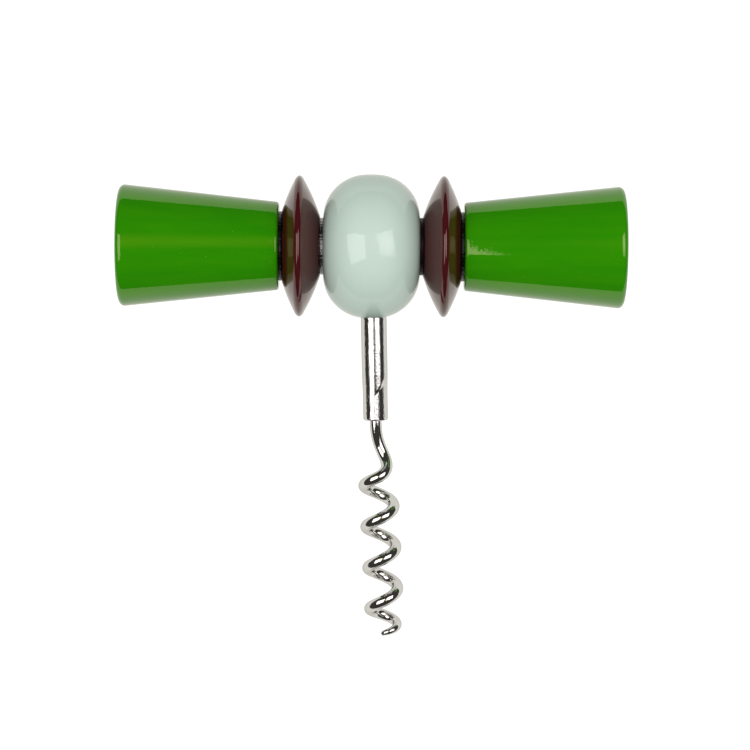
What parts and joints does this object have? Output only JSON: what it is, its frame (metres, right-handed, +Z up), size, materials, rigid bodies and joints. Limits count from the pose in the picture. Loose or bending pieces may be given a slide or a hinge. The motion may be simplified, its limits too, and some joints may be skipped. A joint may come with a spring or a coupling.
{
  "type": "bow corkscrew",
  "caption": "Straight-pull corkscrew: a right-handed wire worm crimped into a metal sleeve, on a cross handle of turned lacquered beads shaped like a bow tie.",
  "frame": {"origin": "on the floor under the lying corkscrew, midway along its outline in X and in Y", "axes": "+X along the handle to the end on the picture's right, -Y from the handle to the worm's tip, +Z up from the floor, out of the face that the picture shows"},
  "size_m": [0.126, 0.1158, 0.036],
  "materials": {
    "mint_lacquer": "high-gloss lacquer over turned wood, pale grey mint",
    "oxblood_lacquer": "high-gloss lacquer over turned wood, very dark oxblood",
    "green_lacquer": "high-gloss lacquer over turned wood, vivid green",
    "adhesive": "cured black adhesive with a lumpy glossy edge",
    "rod_steel": "plain drawn steel rod",
    "chrome_plate": "bright chrome plate over drawn steel"
  },
  "bodies": {
    "root": {"centre_bead": "mint_lacquer", "left_disc": "oxblood_lacquer", "right_disc": "oxblood_lacquer", "left_cone": "green_lacquer", "right_cone": "green_lacquer", "left_inner_seam": "adhesive", "right_inner_seam": "adhesive", "left_outer_seam": "adhesive", "right_outer_seam": "adhesive", "tie_rod": "rod_steel", "sleeve": "chrome_plate", "worm": "chrome_plate"}
  },
  "joints": []
}
